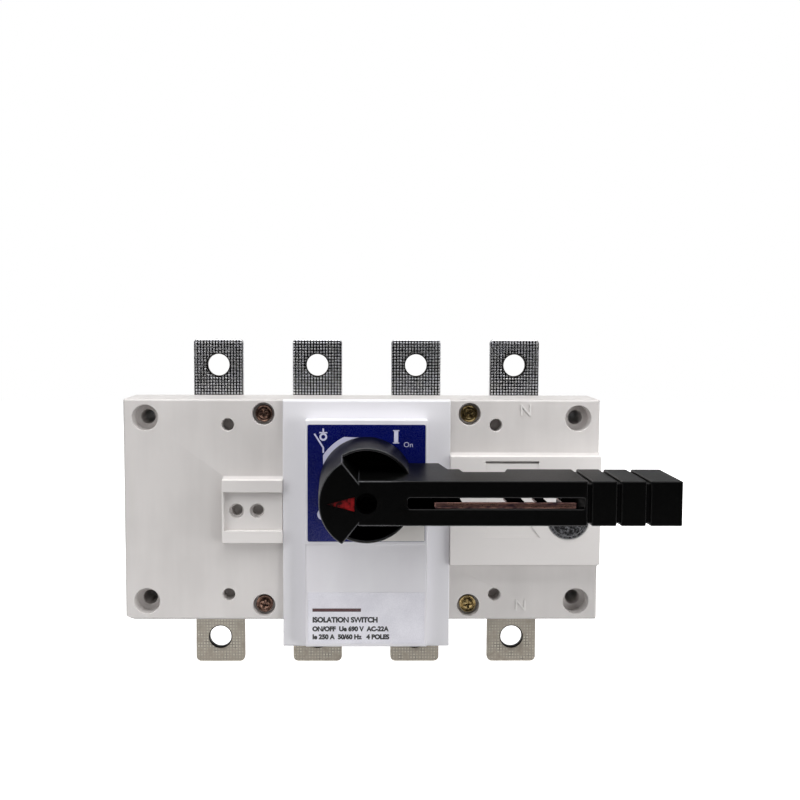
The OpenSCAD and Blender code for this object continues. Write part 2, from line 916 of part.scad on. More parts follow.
module tab_pin() {
    color("dimgray")
        translate([mech_x + pin_x, -pin_height, axis_z - channel_half - 2.5])
            cylinder(h = 2 * channel_half + 5, r = pin_d / 2);
}

base_housing();
front_housing();
mechanism_cover();
dial_plate();
rating_label();
round_plug();
for (i = [0:3]) {
    terminal(i, 1, term_corner_up);
    terminal(i, -1, term_corner_low);
    cover_screw(i);
}
drive_shaft();
handle();
handle_screw();
pointer();
padlock_tab();
tab_pin();
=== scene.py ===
"""Looks of a four-pole rotary disconnect switch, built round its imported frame.

Lengths are in millimetres until a mesh is made. Places on the switch are given as x, z and a
height, which is counted forwards from the flat back face, so that it is minus Y.
"""
import math

import bmesh
import bpy
import numpy as np
from mathutils import Matrix, Vector


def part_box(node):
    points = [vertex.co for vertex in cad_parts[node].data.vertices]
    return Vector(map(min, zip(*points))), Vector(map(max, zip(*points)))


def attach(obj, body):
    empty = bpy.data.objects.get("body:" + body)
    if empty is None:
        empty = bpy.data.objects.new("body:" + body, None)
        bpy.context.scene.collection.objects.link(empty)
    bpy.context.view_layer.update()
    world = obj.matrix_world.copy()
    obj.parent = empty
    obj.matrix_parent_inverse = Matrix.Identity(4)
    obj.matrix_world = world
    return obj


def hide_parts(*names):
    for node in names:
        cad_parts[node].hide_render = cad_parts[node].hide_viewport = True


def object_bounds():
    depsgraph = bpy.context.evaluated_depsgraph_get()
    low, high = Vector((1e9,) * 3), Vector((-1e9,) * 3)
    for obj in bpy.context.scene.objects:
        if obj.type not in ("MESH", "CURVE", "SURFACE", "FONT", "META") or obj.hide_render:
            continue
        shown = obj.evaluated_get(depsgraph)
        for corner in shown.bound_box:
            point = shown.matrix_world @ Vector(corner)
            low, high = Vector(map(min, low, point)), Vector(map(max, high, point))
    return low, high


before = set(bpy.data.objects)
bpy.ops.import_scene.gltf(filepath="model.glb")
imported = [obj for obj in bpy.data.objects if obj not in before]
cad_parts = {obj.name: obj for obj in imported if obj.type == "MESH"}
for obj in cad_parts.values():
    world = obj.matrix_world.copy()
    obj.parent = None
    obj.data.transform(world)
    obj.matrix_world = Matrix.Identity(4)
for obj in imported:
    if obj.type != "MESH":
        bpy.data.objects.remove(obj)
MM = 0.001
CAD_BOX = [list(corner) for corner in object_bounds()]


def extent(node):
    """A node's lowest and highest x, lowest and highest z, and its front height, in mm."""
    low, high = (np.array(corner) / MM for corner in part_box(node))
    return low[0], high[0], low[2], high[2], -low[1]


DIAL_LEFT, DIAL_RIGHT, DIAL_BOTTOM, DIAL_TOP, DIAL_FRONT = extent("dial_plate")
LABEL_LEFT, _, _, LABEL_TOP, LABEL_FRONT = extent("rating_label")
POINTER_LEFT, POINTER_RIGHT = extent("pointer")[:2]
AXIS_X = (DIAL_LEFT + DIAL_RIGHT) / 2
AXIS_Z = (DIAL_BOTTOM + DIAL_TOP) / 2
# The cover stands on the housing's face, where the cover's own back lies
FACE_FRONT = -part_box("mechanism_cover")[1][1] / MM
TERMINAL_END = extent("top_terminal_1")[3]
# Terminal bars: thickness, bolt hole's radius and distance from the free end, and rounded corners
BAR_THICK = 3.5
HOLE_RADIUS = 5.5
HOLE_INSET = 13.0
TOP_CORNER = 2.2
BOTTOM_CORNER = 2.5
# Knurl on the top bars: cell spacing, height, and half widths of a cell at its foot and its top
KNURL_PITCH = 1.5
KNURL_RISE = 0.2
CELL_FOOT = 0.54
CELL_TOP = 0.33


# ---- finishes ----

def srgb(code):
    """An sRGB hex colour as linear red, green, blue and alpha."""
    values = [int(code[i:i + 2], 16) / 255 for i in (0, 2, 4)]
    return [v / 12.92 if v <= 0.04045 else ((v + 0.055) / 1.055) ** 2.4 for v in values] + [1.0]


def add(tree, kind, inputs, **settings):
    """Adds a shader node: settings are its options; inputs are values, hex colours or sockets to link."""
    node = tree.nodes.new("ShaderNode" + kind)
    for name, value in settings.items():
        setattr(node, name, value)
    for name, value in inputs.items():
        if isinstance(value, bpy.types.NodeSocket):
            tree.links.new(value, node.inputs[name])
        else:
            node.inputs[name].default_value = srgb(value) if isinstance(value, str) else value
    return node.outputs


def begin(name, **values):
    """Begins a material with its shader's fixed values: gives its nodes and Object coordinates in mm."""
    material = bpy.data.materials.new(name)
    material.use_nodes = True
    tree = material.node_tree
    for socket, value in values.items():
        tree.nodes["Principled BSDF"].inputs[socket.replace("_", " ")].default_value = value
    place = add(tree, "TexCoord", {})["Object"]
    return material, tree, add(tree, "Mapping", {"Vector": place, "Scale": [1 / MM] * 3})["Vector"]


def wire(material, **patterns):
    """Links patterns to the sockets of a material's shader."""
    tree = material.node_tree
    for socket, pattern in patterns.items():
        tree.links.new(pattern, tree.nodes["Principled BSDF"].inputs[socket.replace("_", " ")])
    return material


def moulded_polyester(name, light, dark, raised_painted_light):
    """Glass-filled polyester compound, hot pressed in a steel tool and left so: light grey satin."""
    material, tree, place = begin(name, IOR=1.5)
    # Flow marks some 6 mm wide and 50 mm tall, and clouds of 30 mm, shift the grey a little
    upright = add(tree, "Mapping", {"Vector": place, "Scale": (1, 1, 0.12)})["Vector"]
    flow = add(tree, "TexNoise", {"Vector": upright, "Scale": 0.16, "Detail": 3.0})["Fac"]
    cloud = add(tree, "TexNoise", {"Vector": place, "Scale": 0.03, "Detail": 3.0})["Fac"]
    mottle = add(tree, "Math", {0: flow, 1: 0.5, 2: cloud}, operation="MULTIPLY_ADD")[0]
    share = add(tree, "MapRange", {"Value": mottle, "From Min": 0.55, "From Max": 0.95})["Result"]
    skin = add(tree, "Mix", {0: share, 6: light, 7: dark}, data_type="RGBA")[2]
    # What stands 2 mm or more in front of the face is painted lighter: painted light
    depth = add(tree, "SeparateXYZ", {"Vector": place})["Y"]
    raised = add(tree, "MapRange", {"Value": depth, "From Min": -FACE_FRONT - 2,
                                    "From Max": -FACE_FRONT - 3})["Result"]
    colour = add(tree, "Mix", {0: raised, 6: skin, 7: raised_painted_light}, data_type="RGBA")[2]
    # Fibre ends near the skin leave a satin grain of about 0.5 mm
    grain = add(tree, "TexNoise", {"Vector": place, "Scale": 2.2, "Detail": 3.0})["Fac"]
    satin = add(tree, "MapRange", {"Value": grain, "From Min": 0.3, "From Max": 0.7, "To Min": 0.4,
                                   "To Max": 0.5})["Result"]
    pits = add(tree, "Bump", {"Height": grain, "Distance": 0.02 * MM})["Normal"]
    return wire(material, Base_Color=colour, Roughness=satin, Normal=pits)


def moulded_abs():
    """Near-white ABS, injection moulded in a lightly blasted tool: a half-gloss skin with a cool cast."""
    material, tree, place = begin("moulded_abs", IOR=1.53)
    # Clouds of 20 by 50 mm, as the melt ran up the part
    upright = add(tree, "Mapping", {"Vector": place, "Scale": (1, 1, 0.4)})["Vector"]
    cloud = add(tree, "TexNoise", {"Vector": upright, "Scale": 0.05, "Detail": 3.0})["Fac"]
    share = add(tree, "MapRange", {"Value": cloud, "From Min": 0.35, "From Max": 0.65})["Result"]
    skin = add(tree, "Mix", {0: share, 6: "ECEBEF", 7: "E5E3E8"}, data_type="RGBA")[2]
    # The flange, under 4 mm high, is painted a little greyer: painted shade
    depth = add(tree, "SeparateXYZ", {"Vector": place})["Y"]
    flange = add(tree, "MapRange", {"Value": depth, "From Min": -FACE_FRONT - 4,
                                    "From Max": -FACE_FRONT - 3})["Result"]
    colour = add(tree, "Mix", {0: flange, 6: skin, 7: "E6E5E9"}, data_type="RGBA")[2]
    # The blasted tool's grain is finer than the 0.7 mm drawn here, which is as coarse as it needs to show
    grain = add(tree, "TexNoise", {"Vector": place, "Scale": 1.4, "Detail": 3.0})["Fac"]
    gloss = add(tree, "MapRange", {"Value": grain, "From Min": 0.3, "From Max": 0.7, "To Min": 0.3,
                                   "To Max": 0.4})["Result"]
    pits = add(tree, "Bump", {"Height": grain, "Distance": 0.012 * MM})["Normal"]
    return wire(material, Base_Color=colour, Roughness=gloss, Normal=pits)


def printed_film(name, code, other, satin):
    """Screen-printed polycarbonate film: even ink on a film with a slight satin, seen as a soft sheen."""
    material, tree, place = begin(name, IOR=1.58)
    # The ink's thickness drifts over some 8 mm
    drift = add(tree, "TexNoise", {"Vector": place, "Scale": 0.12, "Detail": 3.0})["Fac"]
    share = add(tree, "MapRange", {"Value": drift, "From Min": 0.35, "From Max": 0.65})["Result"]
    colour = add(tree, "Mix", {0: share, 6: code, 7: other}, data_type="RGBA")[2]
    # Embossed satin of 0.3 mm
    grain = add(tree, "TexNoise", {"Vector": place, "Scale": 3.0, "Detail": 3.0})["Fac"]
    sheen = add(tree, "MapRange", {"Value": grain, "From Min": 0.3, "From Max": 0.7, "To Min": satin - 0.04,
                                   "To Max": satin + 0.06})["Result"]
    skin = add(tree, "Bump", {"Height": grain, "Distance": 0.006 * MM})["Normal"]
    return wire(material, Base_Color=colour, Roughness=sheen, Normal=skin)


def silver_foil():
    """Label foil, vapour-coated with aluminium, matt varnished: a cloudy silver grey with a fine grain."""
    material, tree, place = begin("silver_foil", Metallic=0.25)
    # Clouds of 10 mm and a speck of 0.4 mm from the varnish
    cloud = add(tree, "TexNoise", {"Vector": place, "Scale": 0.1, "Detail": 3.0})["Fac"]
    speck = add(tree, "TexNoise", {"Vector": place, "Scale": 2.4, "Detail": 4.0})["Fac"]
    both = add(tree, "Mix", {0: 0.5, 2: cloud, 3: speck}, data_type="FLOAT")[0]
    share = add(tree, "MapRange", {"Value": both, "From Min": 0.38, "From Max": 0.62})["Result"]
    colour = add(tree, "Mix", {0: share, 6: "DEDDE4", 7: "CFCED6"}, data_type="RGBA")[2]
    matt = add(tree, "MapRange", {"Value": speck, "From Min": 0.3, "From Max": 0.7, "To Min": 0.36,
                                  "To Max": 0.5})["Result"]
    skin = add(tree, "Bump", {"Height": speck, "Distance": 0.01 * MM})["Normal"]
    return wire(material, Base_Color=colour, Roughness=matt, Normal=skin)


def black_nylon(name, dark, light, depth, shine, mirror, per_mm=2.0, arm_shade=None):
    """Black glass-filled nylon, injection moulded: nearly black, with the pits that the glass leaves.

    The glass breaks the skin up, so it mirrors less than its IOR says. The hub's edges get a light colour,
    a painted highlight; arm_shade is the colour that this fades to along the arm.
    """
    material, tree, place = begin(name, IOR=1.53, Specular_IOR_Level=mirror)
    # Fibre bundles show as pits of 0.5 mm, or 1 mm on the plug
    grain = add(tree, "TexNoise", {"Vector": place, "Scale": per_mm, "Detail": 5.0,
                                   "Roughness": 0.65})["Fac"]
    share = add(tree, "MapRange", {"Value": grain, "From Min": 0.45, "From Max": 0.75})["Result"]
    colour = add(tree, "Mix", {0: share, 6: dark, 7: light}, data_type="RGBA")[2]
    # On the handle's edges: the light colour, a painted highlight, fades to arm_shade along the arm
    if arm_shade:
        along = add(tree, "SeparateXYZ", {"Vector": place})["X"]
        arm = add(tree, "MapRange", {"Value": along, "From Min": 9, "From Max": 18})["Result"]
        colour = add(tree, "Mix", {0: arm, 6: colour, 7: arm_shade}, data_type="RGBA")[2]
    gloss = add(tree, "MapRange", {"Value": grain, "From Min": 0.3, "From Max": 0.7, "To Min": shine,
                                   "To Max": shine + 0.07})["Result"]
    pits = add(tree, "Bump", {"Height": grain, "Distance": depth * MM})["Normal"]
    return wire(material, Base_Color=colour, Roughness=gloss, Normal=pits)


def tinned_copper(name, groove_shade, cell_shade, worn_shade, depth, worn_off, housing_shadow):
    """Copper bar, tin plated, with a square knurl pressed into its faces: bright cells in dark grooves,
    whose dark is painted shade.

    depth is how far the pattern is pressed in, in mm, worn_off the share of it that is gone where the
    bar is worn most, and the last argument the share of painted shadow, the darkest, beside the housing.
    """
    material, tree, place = begin(name, Metallic=1.0)
    apart = add(tree, "SeparateXYZ", {"Vector": place})
    # How near a groove lies along x and z: 0 in the middle of a cell, 0.5 in a groove, 1.5 mm apart
    waves = []
    for axis in ("X", "Z"):
        turn = add(tree, "Math", {0: apart[axis], 1: KNURL_PITCH}, operation="DIVIDE")[0]
        waves.append(add(tree, "Math", {0: turn, 1: 0.5}, operation="PINGPONG")[0])
    edge = add(tree, "Math", {0: waves[0], 1: waves[1]}, operation="MAXIMUM")[0]
    groove = add(tree, "MapRange", {"Value": edge, "From Min": 0.29, "From Max": 0.36})["Result"]
    # Only the two faces are knurled, and not the last half millimetre at the free end
    facing = add(tree, "SeparateXYZ", {"Vector": add(tree, "TexCoord", {})["Normal"]})["Y"]
    flat = add(tree, "Math", {0: facing}, operation="ABSOLUTE")[0]
    face = add(tree, "MapRange", {"Value": flat, "From Min": 0.9, "From Max": 0.95})["Result"]
    out = add(tree, "Math", {0: apart["Z"]}, operation="ABSOLUTE")[0]
    inner = add(tree, "MapRange", {"Value": out, "From Min": TERMINAL_END - 0.6,
                                   "From Max": TERMINAL_END - 0.4, "To Min": 1.0, "To Max": 0.0})["Result"]
    knurled = add(tree, "Math", {0: face, 1: inner}, operation="MULTIPLY")[0]
    # Tin dulls and rubs off in patches of 3 mm
    wear = add(tree, "TexNoise", {"Vector": place, "Scale": 0.35, "Detail": 4.0})["Fac"]
    worn = add(tree, "MapRange", {"Value": wear, "From Min": 0.35, "From Max": 0.65})["Result"]
    cell = add(tree, "Mix", {0: worn, 6: cell_shade, 7: worn_shade}, data_type="RGBA")[2]
    kept = add(tree, "MapRange", {"Value": wear, "From Min": 0.35, "From Max": 0.6, "To Min": 1.0,
                                  "To Max": 1.0 - worn_off})["Result"]
    knurled = add(tree, "Math", {0: knurled, 1: kept}, operation="MULTIPLY")[0]
    # Grooves take groove_shade: painted shade in the knurl
    dark = add(tree, "Math", {0: groove, 1: knurled}, operation="MULTIPLY")[0]
    # Painted shadow beside the housing, which fades out over 24 mm
    shadow_by_housing = add(tree, "MapRange", {"Value": out, "From Min": TERMINAL_END - 28,
                                     "From Max": TERMINAL_END - 4, "To Min": housing_shadow, "To Max": 0.0})["Result"]
    shaded = add(tree, "Mix", {0: shadow_by_housing, 6: cell, 7: groove_shade}, data_type="RGBA")[2]
    colour = add(tree, "Mix", {0: dark, 6: shaded, 7: groove_shade}, data_type="RGBA")[2]
    dull = add(tree, "MapRange", {"Value": wear, "From Min": 0.3, "From Max": 0.7, "To Min": 0.34,
                                  "To Max": 0.46})["Result"]
    height = add(tree, "Math", {0: 1.0, 1: edge}, operation="SUBTRACT")[0]
    cells = add(tree, "Math", {0: height, 1: knurled}, operation="MULTIPLY")[0]
    press = add(tree, "Bump", {"Height": cells, "Distance": depth * MM})["Normal"]
    return wire(material, Base_Color=colour, Roughness=dull, Normal=press)


def plated_metal(name, shade, other, gloss, per_mm):
    """Steel or copper with a thin plating or oxide: a colour that drifts over each piece, and a drawn grain."""
    material, tree, place = begin(name, Metallic=1.0)
    drift = add(tree, "TexNoise", {"Vector": place, "Scale": per_mm, "Detail": 4.0})["Fac"]
    share = add(tree, "MapRange", {"Value": drift, "From Min": 0.35, "From Max": 0.65})["Result"]
    colour = add(tree, "Mix", {0: share, 6: shade, 7: other}, data_type="RGBA")[2]
    # Grain of 0.25 mm
    grain = add(tree, "TexNoise", {"Vector": place, "Scale": 4.0, "Detail": 3.0})["Fac"]
    dull = add(tree, "MapRange", {"Value": grain, "From Min": 0.3, "From Max": 0.7, "To Min": gloss - 0.05,
                                  "To Max": gloss + 0.08})["Result"]
    skin = add(tree, "Bump", {"Height": grain, "Distance": 0.01 * MM})["Normal"]
    return wire(material, Base_Color=colour, Roughness=dull, Normal=skin)


def coppery_zinc():
    """Zinc-plated steel strip, yellow passivated and rubbed: a coppery front lip, and flats in painted shade.
    """
    material, tree, place = begin("coppery_zinc_strip", Metallic=1.0)
    # Rub marks some 4 mm long along the strip
    along = add(tree, "Mapping", {"Vector": place, "Scale": (0.3, 1, 1)})["Vector"]
    rub = add(tree, "TexNoise", {"Vector": along, "Scale": 0.8, "Detail": 4.0})["Fac"]
    worn = add(tree, "MapRange", {"Value": rub, "From Min": 0.35, "From Max": 0.65})["Result"]
    lip = add(tree, "Mix", {0: worn, 6: "A57C70", 7: "4E3A40"}, data_type="RGBA")[2]
    # Flats facing up and down are painted near black: painted shade
    facing = add(tree, "SeparateXYZ", {"Vector": add(tree, "TexCoord", {})["Normal"]})["Z"]
    flat = add(tree, "Math", {0: facing}, operation="ABSOLUTE")[0]
    painted_shade_on_flats = add(tree, "MapRange", {"Value": flat, "From Min": 0.7, "From Max": 0.9})["Result"]
    colour = add(tree, "Mix", {0: painted_shade_on_flats, 6: lip, 7: "2A2524"}, data_type="RGBA")[2]
    dull = add(tree, "MapRange", {"Value": rub, "From Min": 0.3, "From Max": 0.7, "To Min": 0.26,
                                  "To Max": 0.4})["Result"]
    return wire(material, Base_Color=colour, Roughness=dull)


def red_plastic():
    """Red polyamide insert: bright at its base, darker, nearly black, towards its tip."""
    material, tree, place = begin("red_plastic", IOR=1.5, Specular_IOR_Level=0.2)
    along = add(tree, "SeparateXYZ", {"Vector": place})["X"]
    toward_tip = add(tree, "MapRange", {"Value": along, "From Min": POINTER_RIGHT - 1,
                                        "From Max": POINTER_LEFT, "To Min": 1.4, "To Max": 2.5})["Result"]
    # Patches of 1 mm
    patch_noise = add(tree, "TexNoise", {"Vector": place, "Scale": 0.8, "Detail": 2.0})["Fac"]
    share = add(tree, "Math", {0: patch_noise, 1: -2.4, 2: toward_tip}, operation="MULTIPLY_ADD")[0]
    tip_darkening = add(tree, "MapRange", {"Value": share, "From Min": 0.0, "From Max": 1.0})["Result"]
    colour = add(tree, "Mix", {0: tip_darkening, 6: "7C1215", 7: "100405"}, data_type="RGBA")[2]
    dull = add(tree, "MapRange", {"Value": patch_noise, "From Min": 0.3, "From Max": 0.7, "To Min": 0.3,
                                  "To Max": 0.45})["Result"]
    return wire(material, Base_Color=colour, Roughness=dull)


# Each finish: its name, the shades it drifts between, then what its function names
# The last shade, on raised faces, is painted light
POLYESTER = moulded_polyester("moulded_polyester", "D9D5D3", "CFCBC9", "E8E4E2")
# Lighter polyester for the neutral letters: a painted highlight
HIGHLIT_POLYESTER = moulded_polyester("polyester_painted_highlight", "E8E5E3", "DEDBD9", "E8E5E3")
ABS = moulded_abs()
NAVY = printed_film("navy_print", "040E5C", "030B52", 0.26)
PALE = printed_film("pale_print", "EFECE8", "E8E4E0", 0.32)
LILAC = printed_film("lilac_ink", "D8D8EE", "CFCFE8", 0.4)
BLACK_INK = printed_film("black_ink", "0A0A0C", "121214", 0.45)
RED_INK = printed_film("dark_red_ink", "3C0B14", "320910", 0.45)
FOIL = silver_foil()
BLACK = black_nylon("black_nylon", "020202", "080808", 0.02, 0.33, 0.08)
# Light colours for rounded edges: painted edge highlights on the handle
EDGE_HIGHLIGHT_BLACK = black_nylon("black_nylon_painted_edge_highlight", "3C3C3E", "5A5A5C", 0.008, 0.26, 0.22, arm_shade="060606")
# Light colours for the plug's rounded edges: a painted edge highlight
PLUG_EDGE_HIGHLIGHT = black_nylon("plug_painted_edge_highlight", "58585A", "8A8A8C", 0.02, 0.3, 0.5)
PLUG_BLACK = black_nylon("black_nylon_plug", "020203", "8E8E92", 0.15, 0.33, 0.15, per_mm=0.9)
# Groove shades: painted shade in the knurl's grooves
DEEP_KNURL = tinned_copper("tinned_copper_deep_knurl", "0B0B0D", "FFFFFF", "E4E5EC", 0.08, 0.0, 0.0)
# The last value: painted shadow beside the housing
WORN_KNURL = tinned_copper("tinned_copper_worn_knurl", "69655E", "A39E93", "867F75", 0.05, 0.85, 0.75)
OXIDISED = plated_metal("oxidised_copper_rim", "2E2A28", "1C1918", 0.4, 0.6)
ZINC = plated_metal("bright_zinc", "B4B4B6", "98989C", 0.34, 0.6)
BRONZE = plated_metal("dark_bronze_steel", "8A6E60", "4A3832", 0.28, 0.6)
GOLD = plated_metal("yellow_zinc_steel", "B09C70", "5E4E30", 0.26, 0.6)
DARK_STEEL = plated_metal("black_oxide_steel", "141414", "0C0C0C", 0.35, 0.6)
COPPERY = coppery_zinc()
RED = red_plastic()


# ---- pieces ----

def smooth(mesh, angle=35):
    """Smooth shading, with edges steeper than the angle kept sharp."""
    mesh.shade_smooth()
    mesh.set_sharp_from_angle(angle=math.radians(angle))


def place(name, mesh, material, body, slot):
    """Puts a mesh in the scene as a piece that rides on a body."""
    mesh.materials.clear()
    mesh.materials.append(material)
    piece = bpy.data.objects.new(name, mesh)
    bpy.context.scene.collection.objects.link(piece)
    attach(piece, body)
    return piece


def softened(node, radius, material, slot, body="switch", sharp_round=(), worn=None):
    """A node's own mesh, merged into whole faces, with its sharp outer edges rounded to a radius in mm.

    Edges that turn by less than 32 degrees stay as they are, and so do those in front, less than 1 mm
    from the box of a node named in sharp_round. The rounded edges take the finish in worn, if any: a
    painted edge highlight.
    """
    merge_gap, same_plane, sharp_turn = 0.002, math.radians(0.5), math.radians(32)
    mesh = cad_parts[node].data.copy()
    mesh.name = node + "_rounded"
    for name in ("custom_normal", "sharp_edge", "sharp_face"):
        if name in mesh.attributes:
            mesh.attributes.remove(mesh.attributes[name])
    whole = bmesh.new()
    whole.from_mesh(mesh)
    bmesh.ops.remove_doubles(whole, verts=whole.verts, dist=merge_gap * MM)
    bmesh.ops.dissolve_limit(whole, angle_limit=same_plane, verts=whole.verts, edges=whole.edges)
    weight = whole.edges.layers.float.new("bevel_weight_edge")
    kept = [extent(name) for name in sharp_round]
    for edge in whole.edges:
        x, y, z = (edge.verts[0].co + edge.verts[1].co) / 2 / MM
        beside = any(left - 1 < x < right + 1 and bottom - 1 < z < top + 1 and -y > front - 3
                     for left, right, bottom, top, front in kept)
        edge[weight] = float(edge.is_convex and edge.calc_face_angle(0) > sharp_turn and not beside)
    whole.to_mesh(mesh)
    whole.free()
    smooth(mesh)
    piece = place(node + "_rounded", mesh, material, body, slot)
    if radius:
        bevel = piece.modifiers.new("rounded_edges", "BEVEL")
        bevel.width = radius * MM
        bevel.segments = 2
        bevel.limit_method = "WEIGHT"
        bevel.use_clamp_overlap = False
        bevel.miter_outer = "MITER_ARC"
        bevel.harden_normals = True
        # worn's finish is a painted edge highlight
        if worn:
            mesh.materials.append(worn)
            bevel.material = 1
    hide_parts(node)


softened("base_housing", 0.6, POLYESTER, "housing")
softened("front_housing", 0.35, POLYESTER, "housing")
softened("mechanism_cover", 0.5, ABS, "cover")
softened("dial_plate", 0.1, NAVY, "dial")
softened("rating_label", 0.0, FOIL, "label")
# The plug's rounded edges are lighter: a painted edge highlight
softened("round_plug", 0.3, PLUG_BLACK, "plug", worn=PLUG_EDGE_HIGHLIGHT)
softened("drive_shaft", 0.3, ZINC, "shaft", "handle")
# The handle's rounded edges are lighter: a painted edge highlight
softened("handle", 0.5, BLACK, "handle", "handle", sharp_round=("pointer", "handle_screw"),
         worn=EDGE_HIGHLIGHT_BLACK)
softened("handle_screw", 0.3, DARK_STEEL, "dark_steel", "handle")
softened("pointer", 0.1, RED, "pointer", "handle")
softened("padlock_tab", 0.3, COPPERY, "tab", "tab")
softened("tab_pin", 0.3, DARK_STEEL, "dark_steel", "handle")


def outline(left, right, base, end, corner, inset):
    """A bar's outline, drawn in by inset, as x and z points: four quarter circles and straight sides."""
    x0, x1 = left + inset, right - inset
    z0, z1 = sorted((base, end))
    z0, z1 = z0 + inset, z1 - inset
    r = max(corner - inset, 0.05)
    centres = (x1 - r, z1 - r), (x0 + r, z1 - r), (x0 + r, z0 + r), (x1 - r, z0 + r)
    quarter = np.linspace(0, np.pi / 2, 7)
    rounds = []
    for k, (cx, cz) in enumerate(centres):
        a = quarter + k * np.pi / 2
        rounds.append(np.stack((cx + r * np.cos(a), cz + r * np.sin(a)), 1))
    share = np.linspace(0, 1, 25)[1:-1, None]
    starts = rounds[1:] + rounds[:1]
    return np.vstack([np.vstack((now, now[-1] + share * (then[0] - now[-1])))
                      for now, then in zip(rounds, starts)])


def terminal_bar(node, end, corner, material, rise=0.0):
    """Terminal bar: a loop carried round the bolt hole, from the hole's wall over both faces and the edge.

    Each step of the loop lies on the hole or on the outline. Both are drawn in near the faces, so the
    edges and the hole's rim are rounded. The faces lie lower by rise, the knurl's height.
    """
    left, right, bottom, top, front = extent(node)
    front, back = front - rise, front - BAR_THICK + rise
    base, tip = (bottom, top) if end > 0 else (top, bottom)
    centre = np.array([(left + right) / 2, tip - end * HOLE_INSET])
    full = outline(left, right, base, tip, corner, 0.0)
    ray = full - centre
    ray /= np.linalg.norm(ray, axis=1)[:, None]
    # Whether a step is on the outline, how far it is drawn in, and its height
    steps = ((False, 0, front - 0.4), (False, -0.18, front - 0.1), (False, -0.55, front),
             (True, 0.45, front), (True, 0.12, front - 0.13), (True, 0, front - 0.45),
             (True, 0, back + 0.4), (True, 0.12, back + 0.1), (True, 0.45, back),
             (False, -0.55, back), (False, -0.18, back + 0.1), (False, 0, back + 0.4))
    loops = []
    for on_outline, inset, height in steps:
        edge = (outline(left, right, base, tip, corner, inset) if on_outline
                else centre + ray * (HOLE_RADIUS - inset))
        loops.append(np.column_stack((edge[:, 0], np.full(len(edge), -height), edge[:, 1])))
    points = np.vstack(loops) * MM
    count, rows = len(full), len(loops)
    k, j = np.meshgrid(np.arange(rows), np.arange(count), indexing="ij")
    here, beside = k * count + j, k * count + (j + 1) % count
    after, over = (k + 1) % rows * count + j, (k + 1) % rows * count + (j + 1) % count
    faces = np.stack((here, after, over, beside), -1).reshape(-1, 4)
    mesh = bpy.data.meshes.new(node + "_bar")
    mesh.from_pydata(points.tolist(), [], faces.tolist())
    smooth(mesh, 50)
    piece = place(node + "_bar", mesh, material, "switch", "terminals")
    # The hole was punched after plating: its wall and rims are bare and oxidised
    mesh.materials.append(OXIDISED)
    bare = np.isin(np.arange(rows), (0, 1, rows - 3, rows - 2, rows - 1)).astype(np.int32)
    mesh.polygons.foreach_set("material_index", np.repeat(bare, count))
    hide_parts(node)


def knurl(node):
    """Knurl pressed into both faces of a top bar: one closed frustum to each cell, all at once.

    Cell (m, n) is centred at x = m * pitch, z = n * pitch, where the material puts its cells too. Corner
    c of a frustum is the centre + sign(c) * half, with one half width at the foot, which is sunk a
    little into the bar, and a smaller one at the top. Cells inside the case, and those that would reach
    the hole's rim, the rounded corners or the edges, are left out.
    """
    outside, edge, end_edge, rim, sunk = 28.4, 0.5, 0.6, 1.3, 0.05
    left, right, _, top, front = extent(node)
    columns = np.arange(np.ceil((left + edge) / KNURL_PITCH), (right - edge) / KNURL_PITCH) * KNURL_PITCH
    lines = np.arange(np.ceil((top - outside) / KNURL_PITCH), (top - end_edge) / KNURL_PITCH) * KNURL_PITCH
    spots = np.stack(np.meshgrid(columns, lines), -1).reshape(-1, 2)
    middle = (left + right) / 2
    past = np.stack((np.abs(spots[:, 0] - middle) - (right - left) / 2, spots[:, 1] - top), 1) + TOP_CORNER
    in_corner = np.linalg.norm(np.maximum(past, 0), axis=1) > TOP_CORNER - edge
    near_hole = np.linalg.norm(spots - (middle, top - HOLE_INSET), axis=1) < HOLE_RADIUS + rim
    spots = spots[~in_corner & ~near_hole]
    signs = np.array(((-1, -1), (1, -1), (1, 1), (-1, 1)))
    sides = np.array(((4, 5, 6, 7), (0, 1, 5, 4), (1, 2, 6, 5), (2, 3, 7, 6), (3, 0, 4, 7), (3, 2, 1, 0)))
    points, faces = [], []
    # The back's cells are the front's turned round, so their faces are too
    for face, way in ((front, 1), (front - BAR_THICK, -1)):
        levels = (CELL_FOOT, face - way * (KNURL_RISE + sunk)), (CELL_TOP, face)
        rings = []
        for half, height in levels:
            ring = spots[:, None] + signs * half
            rings.append(np.stack((ring[..., 0], np.full(ring.shape[:2], -height), ring[..., 1]), -1))
        first = np.arange(len(spots))[:, None, None] * 8 + len(faces) * len(spots) * 8
        points.append(np.concatenate(rings, 1).reshape(-1, 3))
        faces.append((first + sides[:, ::way]).reshape(-1, 4))
    mesh = bpy.data.meshes.new(node + "_knurl")
    mesh.from_pydata((np.vstack(points) * MM).tolist(), [], np.vstack(faces).tolist())
    place(node + "_knurl", mesh, DEEP_KNURL, "switch", "terminals")


for i in range(1, 5):
    terminal_bar(f"top_terminal_{i}", 1, TOP_CORNER, DEEP_KNURL, rise=KNURL_RISE)
    knurl(f"top_terminal_{i}")
    terminal_bar(f"bottom_terminal_{i}", -1, BOTTOM_CORNER, WORN_KNURL)


